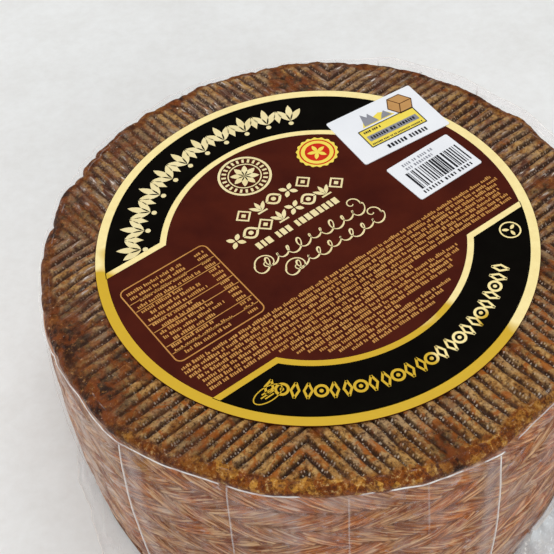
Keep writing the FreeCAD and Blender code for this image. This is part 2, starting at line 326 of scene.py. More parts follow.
def herringbone_rind():
    """Rind of the two flat faces, with the crust of the rim.

    It reads how high a point lies, how far it is in the crust, how amber and worn it is,
    how strong the film's painted reflection is there, and where the air bubbles sit
    (ridge_u, ridge_v, beaded).
    """
    look = Look("rind_flat")
    relief, worn, crust, amber, milky, beaded = map(
        look.read, ("relief", "worn", "crust", "amber", "milky", "beaded"))
    blotch = look.spots(17, 4.0, 0.6)
    medium = look.spots(4.2, 4.0, 0.62, 0.4)
    fine = look.spots(1.5, 4.0, 0.7)
    grain = look.spots(0.6, 3.0, 0.75)
    veins = look.spots(8.0, 3.0, 0.6, 1.6)

    # brown ridges with grey and orange patches and dark pores
    high = look.tinted(
        (134, 86, 34), (medium, 0.4, 0.6, 1.0, (188, 144, 82)),
        (blotch, 0.48, 0.6, 0.75, (160, 132, 98)), (fine, 0.5, 0.62, 0.9, (66, 34, 10)),
        (fine, 0.45, 0.32, 0.75, (196, 156, 104)), (veins, 0.53, 0.61, 0.85, (154, 82, 16)))
    smear = look.ramp(look.spots(8, 3.0, 0.6, 1.0), 0.5, 0.6)
    high = look.mix(look.times(smear, milky), high, (78, 36, 18))
    # painted shade: the grooves darker than the crests, less so where the film's reflection is
    # painted
    shaded_hollow = look.tinted((54, 30, 15), (fine, 0.35, 0.65, 1.0, (116, 76, 46)))
    shaded_hollow = look.mix(look.times(milky, 0.9), shaded_hollow, (88, 56, 38))
    roughened = look.plus(relief, look.ramp(grain, 0.3, 0.7, -0.32, 0.32))
    colour = look.mix(look.ramp(roughened, 0.22, 0.74), shaded_hollow, high)

    # painted reflection of the film: pale streaks along the crests, and a few white painted
    # highlights
    along, across = look.read("ridge_u"), look.read("ridge_v")
    streak = look.noise(look.vector(
        X=look.maths("DIVIDE", along, 6.5), Y=look.maths("DIVIDE", across, 1.2)), 1.0, 3.0, 0.6, 0.3)
    on_crests = look.ramp(relief, 0.25, 0.8, 0.15, 1.0)
    sheen = look.times(look.ramp(streak, 0.46, 0.62), on_crests, 0.7)
    colour = look.mix(look.times(look.plus(sheen, 0.04), milky), colour, (154, 130, 110))
    glints = look.times(look.ramp(streak, 0.62, 0.68), look.ramp(milky, 0.6, 1.0, 0.1, 0.85), milky)
    colour = look.mix(glints, colour, (240, 232, 224))

    # air bubbles in the grooves: painted shade round each, and a painted highlight in its middle
    beads = look.cells(look.vector(X=along, Y=across), 1.0, 0.55).outputs["Distance"]
    patchy = look.ramp(look.spots(8.0, 3.0, 0.6), 0.3, 0.48)
    bead_shade = look.times(look.ramp(beads, 0.3, 0.5), beaded, patchy)
    colour = look.mix(look.times(bead_shade, 0.75), colour, (40, 24, 18))
    bead_glint = look.times(look.ramp(beads, 0.22, 0.38, 1.0, 0.0), beaded,
                         look.ramp(look.spots(2.2, 2.0), 0.32, 0.52),
                         look.times(patchy, look.ramp(milky, 0.0, 1.0, 1.0, 0.35)))
    colour = look.mix(look.times(bead_glint, 0.85), colour, (212, 198, 180))

    # the crust: brown, darker where the sheen mask is high, with amber lumps
    lumps = look.cells(look.place(), 1 / (2.8 * MM), 1.0)
    tone = look.node("SeparateColor", {"Color": lumps.outputs["Color"]}).outputs[0]
    rim_brown = look.tinted((128, 76, 30), (fine, 0.4, 0.6, 1.0, (78, 38, 10)))
    dark_rim = look.tinted((112, 56, 22), (medium, 0.4, 0.6, 1.0, (56, 22, 8)))
    rim_brown = look.mix(look.times(milky, 1.6), rim_brown, dark_rim)
    ochre = look.tinted(
        (134, 68, 4), (tone, 0.4, 0.95, 1.0, (198, 140, 52)),
        (medium, 0.48, 0.62, 0.9, (96, 42, 2)), (fine, 0.5, 0.62, 0.8, (70, 30, 4)),
        (fine, 0.44, 0.32, 0.7, (226, 188, 118)))
    colour = look.mix(crust, colour, look.mix(amber, rim_brown, ochre))

    # worn patches: smooth dark brown, with small painted highlights as sparkles
    smooth_brown = look.tinted(
        (112, 52, 8), (medium, 0.42, 0.58, 1.0, (34, 12, 2)),
        (fine, 0.42, 0.3, 0.6, (188, 126, 62)),
        (look.spots(1.3, 2.0), 0.7, 0.74, 0.8, (252, 232, 206)))
    colour = look.mix(worn, colour, smooth_brown)

    domes = look.times(look.ramp(beads, 0.05, 0.5, 1.0, 0.0), beaded)
    crumbs = look.times(look.ramp(lumps.outputs["Distance"], 0.1, 0.6, 1.0, 0.0), crust)
    normal = look.bump((grain, 0.3, 0.7), (fine, 0.7, 0.6), (domes, 0.4, 0.9), (crumbs, 0.6, 0.6))
    return look.finish_rind(colour, normal, look.ramp(fine, 0.3, 0.7, 0.36, 0.6), 0.08)


def plaited_rind():
    """Rind of the side: long fibres, each row of them apart, with the film's reflection painted on
    as a whitish sheen.

    ridge_u runs across the fibres and ridge_v along them, in millimetres.
    """
    look = Look("rind_plaited")
    relief, milky, amber, across, along, layer = map(
        look.read, ("relief", "milky", "amber", "ridge_u", "ridge_v", "layer"))

    def fibres(width, length, start, detail=2.0):
        place = look.vector(X=look.maths("DIVIDE", across, width),
                            Y=look.maths("DIVIDE", along, length), Z=look.plus(layer, start))
        return look.noise(place, 1.0, detail, 0.6, 0.15)

    coarse = fibres(4.6, 7.0, 0.0)
    thin = fibres(1.3, 6.0, 40.0, 3.0)
    blotch = look.spots(15, 4.0, 0.6)
    medium = look.spots(5.0, 3.0, 0.6)
    body = look.tinted(
        (166, 100, 50), (coarse, 0.38, 0.62, 1.0, (206, 158, 112)),
        (blotch, 0.48, 0.6, 0.8, (196, 104, 26)), (medium, 0.52, 0.62, 0.85, (150, 66, 12)),
        (thin, 0.5, 0.58, 0.75, (104, 50, 18)), (thin, 0.46, 0.38, 0.65, (238, 200, 154)))
    # painted shade: the hollows between the strands darker than the strands
    shaded_hollow = look.mix(thin, (96, 42, 16), (158, 92, 50))
    colour = look.mix(look.ramp(relief, 0.12, 0.5), shaded_hollow, body)
    crust = look.tinted((188, 128, 46), (medium, 0.4, 0.6, 1.0, (118, 60, 14)))
    colour = look.mix(amber, colour, crust)
    # painted reflection of the film: whitish streaks along the fibres, and patches of it
    streak = look.maths("MAXIMUM", look.ramp(fibres(2.2, 6.0, 80.0, 3.0), 0.52, 0.66),
                        look.ramp(fibres(6.5, 8.0, 120.0), 0.52, 0.72, 0.0, 0.7))
    patches = look.times(look.ramp(look.spots(11, 3.0), 0.5, 0.62), 0.22)
    sheen = look.plus(look.times(streak, milky), look.times(milky, 0.24), patches)
    colour = look.mix(look.maths("MINIMUM", sheen, 0.8), colour, (212, 192, 180))
    normal = look.bump((thin, 0.5, 0.8), (coarse, 0.8, 0.6))
    return look.finish_rind(colour, normal, 0.45, 0.3)


def film_material():
    """Clear film, with white lines along its folds and edges that are painted highlights, partly its
    own whitening at creases, and whiter in its ear.
    """
    look = Look("bag_film")
    crumple = look.read("crumple")
    veil = look.spots(8, 4.0, 0.6, 0.6, (1, 1, 0.35))
    streaks = look.spots(3.2, 4.0, 0.65, 1.2, (1, 1, 1.6))
    # haze: whitish patches of the film's own cloudiness, with streaks that are painted highlights
    haze = look.plus(look.ramp(veil, 0.44, 0.75, 0.01, 0.12),
                     look.ramp(streaks, 0.56, 0.7, 0.0, 0.32))
    haze = look.times(haze, look.read("veil"))
    haze = look.plus(haze, look.times(crumple, look.ramp(veil, 0.35, 0.65, 0.5, 0.85)))
    # painted highlights: white lines along folds and edges, partly the film's own whitening at
    # creases
    fold = look.times(look.read("fold"), look.ramp(streaks, 0.3, 0.5, 0.7, 1.0))
    solid = look.maths("MAXIMUM", haze, look.times(fold, 0.97))
    colour = look.mix(crumple, (232, 224, 226), (246, 252, 255))
    colour = look.mix(fold, colour, (255, 252, 246))
    return look.finish({
        "Base Color": colour, "Roughness": 0.18, "Alpha": solid,
        "Normal": look.bump((streaks, 0.6, 0.6)), "Specular IOR Level": 0.6})


def paper_material(name, colour, second, rough, coat):
    """Coated paper, faintly mottled and rippled."""
    look = Look(name)
    shade = look.tinted(colour, (look.spots(14), 0.3, 0.7, 1.0, second))
    normal = look.bump((look.spots(22, 2.0), 0.8, 0.35), (look.spots(5, 2.0), 0.15, 0.4))
    return look.finish({
        "Base Color": shade, "Roughness": rough, "Coat Weight": coat, "Coat Roughness": 0.12,
        "Specular IOR Level": 0.06, "Normal": normal, "Coat Normal": normal})


def gold_material():
    """Foil, rich yellow at the front and pale towards the back, where its reflection is painted."""
    look = Look("gold_foil")
    axes = look.node("SeparateXYZ", {"Vector": look.where()}).outputs
    # painted reflection: the foil paler towards the back, with a ragged edge
    to_back = look.plus(axes["Y"], look.times(axes["X"], 0.25))
    patches = look.ramp(look.spots(20, 1.0), 0.3, 0.7, -0.5, 0.5)
    share = look.plus(look.times(to_back, 1 / (50 * MM)), patches)
    colour = look.tinted(
        (211, 172, 40), (share, -0.7, -0.52, 1.0, (253, 234, 166)),
        (look.spots(3), 0.35, 0.7, 0.14, (196, 150, 40)))
    return look.finish({"Base Color": colour, "Roughness": 0.35, "Specular IOR Level": 0.3})


def ink_material(name, colour, second, rough=0.4):
    look = Look(name)
    shade = look.tinted(colour, (look.spots(6), 0.3, 0.7, 1.0, second))
    return look.finish({"Base Color": shade, "Roughness": rough, "Specular IOR Level": 0.03})




# --- the rind

# Marks round the wheel: bearing, width, strength
WORN_SPOTS = ((-143, 9, 0.95), (-160, 10, 0.9), (-121, 5, 0.45), (-71, 3, 0.9), (-20, 5, 0.5),
              (60, 8, 0.5), (140, 7, 0.6), (165, 9, 0.7))
AMBER_RIM = ((-92, 46, 1.0), (-35, 24, 0.7), (-150, 20, 0.35), (120, 80, 0.18), (30, 40, 0.3))
# Where the film's reflection is painted on the rind, strongest where the view grazes; on the top
# this also marks dark smears
MILKY_SHEEN_TOP = ((95, 60, 0.85), (160, 32, 1.0), (-165, 14, 0.7), (35, 38, 0.9), (-5, 20, 0.5))
MILKY_SHEEN_SIDE = ((-155, 20, 0.85), (-50, 20, 0.2), (-20, 30, 0.1), (100, 70, 0.4))

# Columns round a piece, and rows of its flat face and of its rounded edge
TOP_MESH = (1200, 46, 10)
BASE_MESH = (600, 105, 6)
SIDE_COLUMNS = 5 * STRANDS
SIDE_ROWS = 108

TOP_INNER = 72.0  # the top starts here, hidden by the label
BASE_INNER = 0.4
CRUST_OVERLAP = 0.8  # how far the top's crust runs down over the side
CRUST_TUCK = 1.1  # how far its end lies inside the girth
SIDE_OVERLAP = 2.5  # how far the side runs on under the crusts
RIM_CRUST = 3.2  # usual width of the crust on the top
CRUST_FADE = 1.6
LABEL_PRESS = 0.05  # how far the rind stays below the label


def rim_reach(angle):
    """Waves of the rim over the CAD wheel's girth, with scallops at the back left."""
    ring = ring_of(angle)
    ragged = near(angle, 150, 75)
    waves = 0.55 * noise(ring, 11, 3) + 0.45 * noise(ring, 5.5, 4) - 0.25
    notches = (1 - np.abs(noise(ring, 15, 37))) ** 5 + 0.5 * (1 - np.abs(noise(ring, 7, 38))) ** 5
    scallops = 0.5 + 0.5 * noise(ring, 24, 40) - 2.1 * notches
    return waves * (1 - ragged) + scallops * ragged


def herringbone(x, y):
    """Height from groove (0) to crest (about 1) of ridges that run outwards in four quarters.

    Also each point's place along its ridge in millimetres, and across in ridges.
    """
    warp_x = x + 0.7 * noise((x, y), 23, 11) + 0.25 * noise((x, y), 6, 13)
    warp_y = y + 0.7 * noise((x, y), 23, 12) + 0.25 * noise((x, y), 6, 14)
    quarter = np.floor((np.arctan2(warp_y, warp_x) - BOARD_TURN) / QUARTER_TURN)
    bisector = BOARD_TURN + (quarter + 0.5) * QUARTER_TURN
    along = warp_x * np.cos(bisector) + warp_y * np.sin(bisector)
    across = -warp_x * np.sin(bisector) + warp_y * np.cos(bisector)
    ridge = across / RIDGE_PITCH
    number = np.round(ridge)
    offset = 2 * (ridge - number) + 0.16 * noise((along, number * 7.0), 10, 8)
    width = 0.44 + 0.1 * hashed((number, quarter), 5) + 0.08 * noise((along, number * 5.0), 5, 9)
    shape = 1 - smooth(width, 1.0, np.abs(offset))
    height = 1 + 0.18 * hashed((number, quarter), 6) + 0.12 * noise((along, number * 9.0), 9, 7)
    return shape * height, along, ridge


def face_rows(inner, reach, flat_rows, edge_rows):
    """Radius and drop of the rings of a flat face and of its rounded edge."""
    flat = reach - EDGE_REACH
    rows = [(inner + (flat - inner) * share, 0.0) for share in np.linspace(0, 1, flat_rows)]
    for turn in np.linspace(0, QUARTER_TURN, edge_rows + 1)[1:]:
        rows.append((reach - EDGE_REACH * (1 - math.sin(turn)), EDGE_HEIGHT * (1 - math.cos(turn))))
    return rows


def face_grid(rows, angle):
    """Radius, drop, bearing, x and y of each point of a face's rows."""
    radius, drop = stacked(rows, angle)
    bearing = np.broadcast_to(angle, radius.shape)
    return radius, drop, bearing, radius * np.cos(bearing), radius * np.sin(bearing)


def wheel_top(material):
    """Top face, from under the label out over the rim to the end of its crust."""
    columns, flat_rows, edge_rows = TOP_MESH
    angle = bearings_of(columns)
    waves = rim_reach(angle)
    reach = girth(angle, HEIGHT - EDGE_HEIGHT) + waves
    rows = face_rows(TOP_INNER, reach, flat_rows, edge_rows)
    for share in (0.25, 0.5, 0.75, 1.0):
        drop = EDGE_HEIGHT + (CRUST_BAND + CRUST_OVERLAP - EDGE_HEIGHT) * share
        side = girth(angle, HEIGHT - drop) - CRUST_TUCK + 0.6 * np.minimum(0, waves)
        rows.append((reach + (side - reach) * share ** 1.5,
                     drop - 0.5 * share * noise(ring_of(angle), 5, 27)))
    radius, drop, bearing, *spot = face_grid(rows, angle)
    x, y = spot
    crest, along, across = herringbone(x, y)
    crest = crest * (1 + 0.16 * noise(spot, 2.6, 29))

    crust = RIM_CRUST + 1.6 * noise(spot, 9, 21) + 1.0 * noise(spot, 3.5, 22)
    crust = crust + 1.6 * near(bearing, -158, 22) - 1.5 * near(bearing, -20, 38)
    edge = smooth(reach - crust - CRUST_FADE, reach - crust, radius)
    worn = by_bearing(bearing, WORN_SPOTS) * smooth(80, 90, radius + 4 * noise(spot, 8, 23))
    patch = smooth(0.45, 0.8, layered(spot, 17, 24)) * 0.8
    worn = np.clip(np.maximum(worn, patch), 0, 1)
    # painted reflection of the film, strongest at the back and sides; the same mask also marks dark
    # smears and a darker crust
    milky = by_bearing(bearing, MILKY_SHEEN_TOP) * (1 + 0.5 * layered(spot, 20, 28))
    milky = np.clip(milky, 0, 1) * (1 - 0.6 * edge)

    depth = GROOVE_DEPTH * (1 - 0.75 * worn) * (1 - 0.4 * milky)
    relief = crest * (1 - edge) + edge * (0.62 + 0.35 * layered(spot, 4.5, 25))
    height = -depth * (1 - relief) + 0.12 * layered(spot, 1.4, 26) - 0.35 * worn
    under_label = np.hypot(x - LABEL_CENTRE[0], y - LABEL_CENTRE[1]) < LABEL_RADIUS + 1
    height = np.where(under_label, np.minimum(height, -LABEL_PRESS), height)
    z = HEIGHT - drop + height * (1 - 0.6 * smooth(0.5, EDGE_HEIGHT, drop))

    piece = shell("rind_top", np.stack([x, y, z], 2), material)
    in_groove = smooth(0.4, 0.62, 2 * np.abs(across - np.round(across)))
    paint(piece, relief=relief, crust=edge, worn=worn, milky=milky,
          amber=np.clip(by_bearing(bearing, AMBER_RIM) * 1.15, 0, 1),
          ridge_u=along / BEAD_PITCH, ridge_v=across * BEADS_PER_RIDGE,
          beaded=in_groove * (1 - edge) * (1 - 0.8 * worn))
    return piece


def plait(angle, level):
    """The plaited girdle's print on the side.

    Gives its height from hollow (0) to strand (1), how far a strand's lean pushes
    each point round the wheel, its place across the strands, and its row.
    """
    row_height = (HEIGHT - 2 * CRUST_BAND) / PLAIT_ROWS
    ring = (*ring_of(angle), level)
    rows = (level - CRUST_BAND) / row_height + 0.2 * noise(ring, 26, 31) + 0.1 * noise(ring, 9, 39)
    number = np.floor(rows)
    within = rows - number
    way = np.where(number % 2 == 0, 1.0, -1.0)
    lean = way * (within - 0.5) * row_height * STRAND_LEAN
    turn = angle / TAU + 0.0022 * noise(ring, 17, 32) + 0.0011 * noise(ring, 6, 47)
    leaf = turn * LEAVES
    strand = turn * STRANDS + 0.3 * hashed((np.round(leaf) % LEAVES, number), 33)
    leaf_shape = 0.5 + 0.5 * np.cos(TAU * leaf)
    strand_shape = 0.5 + 0.5 * np.cos(TAU * strand)
    belly = 1 - np.abs(2 * within - 1) ** 3
    relief = 0.44 * leaf_shape + 0.3 * strand_shape + 0.26 * belly
    return relief, lean / BELLY, turn * TAU * BELLY, number


def wheel_side(material):
    """The side, in columns that run along its strands."""
    plait_top = HEIGHT - CRUST_BAND
    levels = np.linspace(CRUST_BAND - SIDE_OVERLAP, plait_top + SIDE_OVERLAP, SIDE_ROWS)
    start, level = np.meshgrid(bearings_of(SIDE_COLUMNS), levels)
    relief, lean, across, number = plait(start, level)
    angle = start + lean
    ring = (*ring_of(angle), level)
    fade = smooth(CRUST_BAND - SIDE_OVERLAP, CRUST_BAND + 1, level)
    fade = fade * (1 - smooth(plait_top - 0.5, plait_top + 2.0, level))
    depth = PLAIT_DEPTH * (1 - relief) * fade + 0.6 * (1 - fade)
    radius = girth(angle, level) - depth - 0.1 + 0.12 * layered(ring, 2.4, 34)
    under_rim = smooth(HEIGHT - 8, HEIGHT - 4, level)
    radius = radius + under_rim * (np.minimum(0, rim_reach(angle)) - 0.2)
    piece = shell("rind_side", rings_of(radius, angle, level), material)
    # painted reflection of the film, stronger at the left and right where the view grazes
    milky = 0.08 + 0.5 * layered(ring, 20, 36) + by_bearing(angle, MILKY_SHEEN_SIDE)
    stains = 0.8 * smooth(0.2, 0.7, layered(ring, 13, 35)) * smooth(70, 96, level)
    paint(piece, relief=relief, amber=np.clip(0.8 * (1 - fade) + stains, 0, 1),
          milky=np.clip(milky, 0.05, 1), ridge_u=across, ridge_v=level, layer=9.0 * number)
    return piece


def wheel_base(material):
    """Underside with the same herringbone, and the rounded foot."""
    columns, flat_rows, edge_rows = BASE_MESH
    angle = bearings_of(columns)
    reach = girth(angle, EDGE_HEIGHT)
    rows = face_rows(BASE_INNER, reach, flat_rows, edge_rows)
    foot_top = 6.0
    rows.append((girth(angle, foot_top) - 0.7, foot_top))
    radius, level, _, x, y = face_grid(rows, angle)
    crest, along, across = herringbone(x, -y)
    edge = smooth(reach - 6, reach - 4, radius)
    relief = np.minimum(1, crest) * (1 - edge) + edge
    z = level + GROOVE_DEPTH * (1 - relief)
    piece = shell("rind_base", np.stack([x, y, z], 2)[::-1], material)
    none = 0 * edge
    layers = dict(relief=relief, crust=edge, amber=0.3 * edge, worn=none, milky=none + 0.2,
                  beaded=none, ridge_u=along / BEAD_PITCH, ridge_v=across * BEADS_PER_RIDGE)
    paint(piece, **{name: values[::-1] for name, values in layers.items()})
    return piece


# --- the film

# Folds down the side: bearing, strength, how far down
PLEATS = ((-163.0, 0.5, 1.0), (-133.8, 1.0, 1.0), (-112.0, 0.5, 1.0), (-90.5, 0.35, 1.0),
          (-76.5, 0.3, 0.35), (-62.6, 1.0, 1.0), (-24.0, 0.9, 1.0), (3.0, 0.5, 0.6),
          (47.0, 0.8, 1.0), (71.0, 0.4, 0.8), (118.0, 0.7, 1.0), (151.0, 0.5, 0.7))
PLEAT_STAND = 2.0
# Painted highlights on stretches of the film's edge at the rim: first bearing, last, strength
RIM_GLINTS = ((-180, -113.5, 0.85), (-112, -99, 0.75), (-88.5, -86, 0.6), (-83, -70, 0.9),
              (-70, -66.5, 0.3), (-66, -61.8, 0.95), (-58, -30, 0.6), (-28, 181, 0.95))
FLAP = (20, 78)  # bearings of the flap at the rim
# Two ears on the table: bearing, spread, extra reach
LEFT_EAR = (-139, 18, 7.6)
RIGHT_EAR = (-24, 34, 14.6)
SKIRT_REACH = 6.0
SKIRT_RIPPLE = 1.1
SKIRT_RISE = 11.0
# The right ear starts at a hem on the side, and at a crease that runs outwards.
HEM_LEVEL = 18.5
EAR_CREASE = -47.8

FILM_COLUMNS = 1000
SIDE_STEPS = 58
SKIRT_STEPS = 29
RIM_DROP = 4.6  # where the rim's rows end and the side's begin


def film_columns():
    """Angles round the bag, closer together at its folds."""
    angle = np.linspace(0, TAU, 20001)
    density = 1.0 + 0 * angle
    for bearing, _, _ in PLEATS:
        density = density + 9 * near(angle, bearing, 1.3)
    grown = np.concatenate([[0], np.cumsum((density[1:] + density[:-1]) / 2)])
    return np.interp(np.arange(FILM_COLUMNS) / FILM_COLUMNS * grown[-1], grown, angle)


class Bag:
    """The bag from the top's edge over the rim, down the side and out on the table.

    Its rows are (radius, level, whitening of folds and edges, veil, crumple). That whitening
    is painted highlight, partly the film's own whitening at creases; veil makes haze, and
    crumple whitens the right ear.
    """

    def __init__(self):
        self.angle = film_columns()
        self.ring = ring_of(self.angle)
        self.degrees = (np.degrees(self.angle) + 180) % 360 - 180
        self.flap = (smooth(FLAP[0] - 6, FLAP[0] + 6, self.degrees)
                     * (1 - smooth(FLAP[1] - 10, FLAP[1] + 10, self.degrees)))
        self.hug = np.minimum(0, rim_reach(self.angle))
        self.stand = self.rim_stand()
        self.right = near(self.angle, *RIGHT_EAR[:2])

    def rim_stand(self):
        """How far the film stands off the rim: more by a pleat, most at the flap."""
        stretch = 0
        for bearing, strength, _ in PLEATS:
            away = np.abs((self.degrees - bearing + 180) % 360 - 180)
            stretch = np.maximum(stretch, strength * (1 - away / 15))
        stand = 0.5 + 1.1 * stretch + 0.2 * noise(self.ring, 9, 41)
        return stand + self.flap * (2.6 + 0.8 * noise(self.ring, 12, 51))

    def rim_rows(self):
        """Rows over the rim to just past the film's bright edge."""
        angle, ring, flap = self.angle, self.ring, self.flap
        rim = girth(angle, HEIGHT - EDGE_HEIGHT)
        sag = 0.3 * noise(ring, 7, 42)
        lift = 1.9 * np.maximum(near(angle, 125, 95), flap)
        lit = np.max([strength * window(first, last, 0.5, self.degrees)
                      for first, last, strength in RIM_GLINTS], 0)
        lit = lit * (0.75 + 0.25 * smooth(-0.5, 0.1, noise(ring, 2.5, 49)))
        inner = smooth(0.1, 0.5, noise(ring, 5, 50))
        corner = np.max([strength * near(angle, bearing, 0.3) for bearing, strength, _ in PLEATS], 0)
        rows = []
        # share of the stand, reach past the rim, drop below the top, whitening of folds and edge as
        # painted highlight, veil
        for out, lip, drop, fold, veil in (
                (0, -3.4, 0.35, 0.25 * inner, 0.2),
                (0, -2.9, 0.4, 0.0, 0.1),
                (0, -0.5, 1.5, 0.0, 0.1),
                (0.1, 0, 2.2, 0.7 * flap * inner, 0.2),
                (0.3, 0, 2.3, 0.03 + 0.36 * flap, 0.2 + 0.6 * flap),
                (0.8, 0, 2.5, 0.03 + 0.3 * flap, 0.2 + 0.6 * flap),
                (1, -0.25, 2.75, 0.15 * lit, 0.3),
                (1, -0.15, 2.85, lit, 0.5),
                (1, 0.1, 3.1, lit, 0.8),
                (1, 0.1, 3.25, 0.15 * lit, 0.8),
                (1, 0, 4.1, corner, 0.8)):
            lifted = lift * (1 + 0.8 * (drop - 2.85))
            lifted = lifted * smooth(0.5, 2.2, drop) * (1 - smooth(3.3, 4.1, drop))
            radius = rim + (out * self.stand + lip) + 0.8 * self.hug
            rows.append((radius, HEIGHT - (drop - lifted) - sag, fold, veil, 0.0))
        return rows

    def ear_whiteness(self):
        past_crease = smooth(EAR_CREASE - 0.4, EAR_CREASE + 0.4, self.degrees)
        white = smooth(0.1, 0.45, self.right) * (0.72 + 0.28 * past_crease)
        return white * (1 - 0.9 * smooth(-36, -16, self.degrees)) * smooth(-62, -50, self.degrees)

    def pleats_at(self, down):
        """How far the folds stand off a share of the way down, and how strongly their painted
        highlight whitens them.
        """
        stand = 0
        fold = 0 * self.angle
        for bearing, strength, share in PLEATS:
            if down > share:
                continue
            centre = bearing + 0.5 * (math.sin(2.6 * down + bearing) - math.sin(bearing))
            crease = near(self.angle, centre, 0.26)
            tent = near(self.angle, centre, 2.4)
            inward = 1.8 if bearing < -99 else -1.8
            band = near(self.angle, centre + inward, 1.9)
            taper = min(1.0, (share - down) * 6 + 0.25)
            grown = 1 - math.exp(-14 * down)
            stand = stand + PLEAT_STAND * strength * taper * grown * (0.3 * crease + 0.6 * tent)
            fold = np.maximum(fold, strength * taper * np.maximum(crease, 0.25 * band))
        return stand, fold

    def side_rows(self):
        """Rows down the side, clinging to the rind between the folds."""
        angle, ring = self.angle, self.ring
        top = HEIGHT - RIM_DROP
        white = self.ear_whiteness()
        hemmed = smooth(EAR_CREASE - 0.6, EAR_CREASE, self.degrees)
        hemmed = hemmed * (1 - smooth(-12, 0, self.degrees))
        rows = []
        for step in range(SIDE_STEPS + 1):
            down = step / SIDE_STEPS
            level = top + (SKIRT_RISE - top) * down
            off = 0.3 + (self.stand - 0.3) * math.exp(-14 * down)
            off = off + 0.8 * self.hug * math.exp(-60 * down)
            off = off + 0.15 * noise((*ring, 0 * angle + level), 10, 44)
            tents, fold = self.pleats_at(down)
            # the hem and the crease below it get a painted highlight
            hem = hemmed * math.exp(-((level - HEM_LEVEL) / 1.1) ** 2)
            if level < HEM_LEVEL:
                hem = np.maximum(hem, near(angle, EAR_CREASE, 0.5))
            below_hem = 1 - smooth(HEM_LEVEL - 4, HEM_LEVEL - 1.5, level)
            rows.append((girth(angle, level) + (off + tents) + 2.2 * hem, level,
                         np.maximum(fold, hem), 1.0, white * below_hem))
        return rows

    def skirt_rows(self, start):
        """Rows out on the table from a radius."""
        angle, ring, right = self.angle, self.ring, self.right
        ears = LEFT_EAR[2] * near(angle, *LEFT_EAR[:2]) + RIGHT_EAR[2] * right
        reach = SKIRT_REACH + ears + SKIRT_RIPPLE * uneven(3 * angle)
        crumple = (0.5 + 0.5 * np.sin(9 * angle)) * (0.5 + 6.0 * right)
        base = girth(angle, SKIRT_RISE)
        white = self.ear_whiteness()
        rows = []
        for share in np.linspace(0, 1, SKIRT_STEPS + 1)[1:]:
            grown = [axis * (1 + 0.12 * share) for axis in ring]
            facets = np.abs(noise(grown, 7, 46))
            height = 0.35 + SKIRT_RISE * (1 - share) ** 3.2 + crumple * share ** 2
            height = height + 0.4 * np.abs(noise(ring, 4, 45)) * share
            height = height + 2.2 * right * share * facets
            # painted highlights along the skirt's creases, its outward crease and its outer edge
            crease = smooth(0.12, 0.02, facets) * (0.25 + 0.75 * right) * smooth(0, 0.3, share)
            outward = 0.95 * near(angle, EAR_CREASE - 7 * share, 0.5) * (1 - smooth(0.5, 0.8, share))
            edge = (0.85 + 0.15 * right) * smooth(0.93, 0.97, share)
            settled = smooth(0, 0.25, share)
            radius = base + reach * share
            radius = start + (radius - start) * settled + reach * share * (1 - settled) * 0.5
            rows.append((radius, height, np.maximum(np.maximum(crease, outward), edge),
                         0.6 + 1.2 * right, white * (1 - 0.35 * smooth(0.0, 0.5, share))))
        return rows

    def piece(self, material):
        rows = self.rim_rows() + self.side_rows()
        rows += self.skirt_rows(rows[-1][0])
        radius, level, fold, veil, crumple = stacked(rows, self.angle)
        made = shell("film", rings_of(radius, self.angle, level), material, closed=False)
        paint(made, fold=fold, veil=veil, crumple=crumple)
        return made


# --- the print

# Designs are drawn in complex numbers, with x along the lines of type: the label's in
# its radii, the stickers' in millimetres.

INK_STEP = 0.05
INK_ROOT = 0.02  # how far ink reaches down into the paper

# Faces of a piece of a band, whose corners are right and left at the low level, then at
# the high one, each at its start and end; and the faces at the band's ends.
BAND_FACES = ((4, 5, 7, 6), (2, 3, 1, 0), (0, 1, 5, 4), (3, 2, 6, 7))
BAND_ENDS = ((0, (0, 2, 3, 1)), (-1, (1, 3, 2, 0)))


def design_on(node, turn, unit=1.0):
    """Middle of a paper, turn and size of its design, and the paper's height."""
    low, high = node_box(node)
    middle = (low + high) / 2
    return complex(middle[0], middle[1]), rect(unit, math.radians(turn)), high[2]


ON_LABEL = design_on("label", 32.5, LABEL_RADIUS)

# Each ink's two tones, and its roughness if unusual
INKS = {
    "cream_ink": ((240, 226, 176), (232, 214, 158)), "type_gold": ((204, 150, 84), (184, 128, 66)),
    "yellow_ink": ((244, 222, 96), (238, 214, 84)), "grey_ink": ((150, 150, 158), (136, 138, 146)),
    "dark_ink": ((34, 34, 38), (48, 48, 52)), "tan_ink": ((198, 152, 96), (186, 138, 84)),
    "brown_ink": ((96, 62, 36), (84, 52, 30)), "red_ink": ((206, 52, 32), (196, 42, 26)),
    "black_ink": ((7, 5, 3), (10, 8, 5), 0.3)}


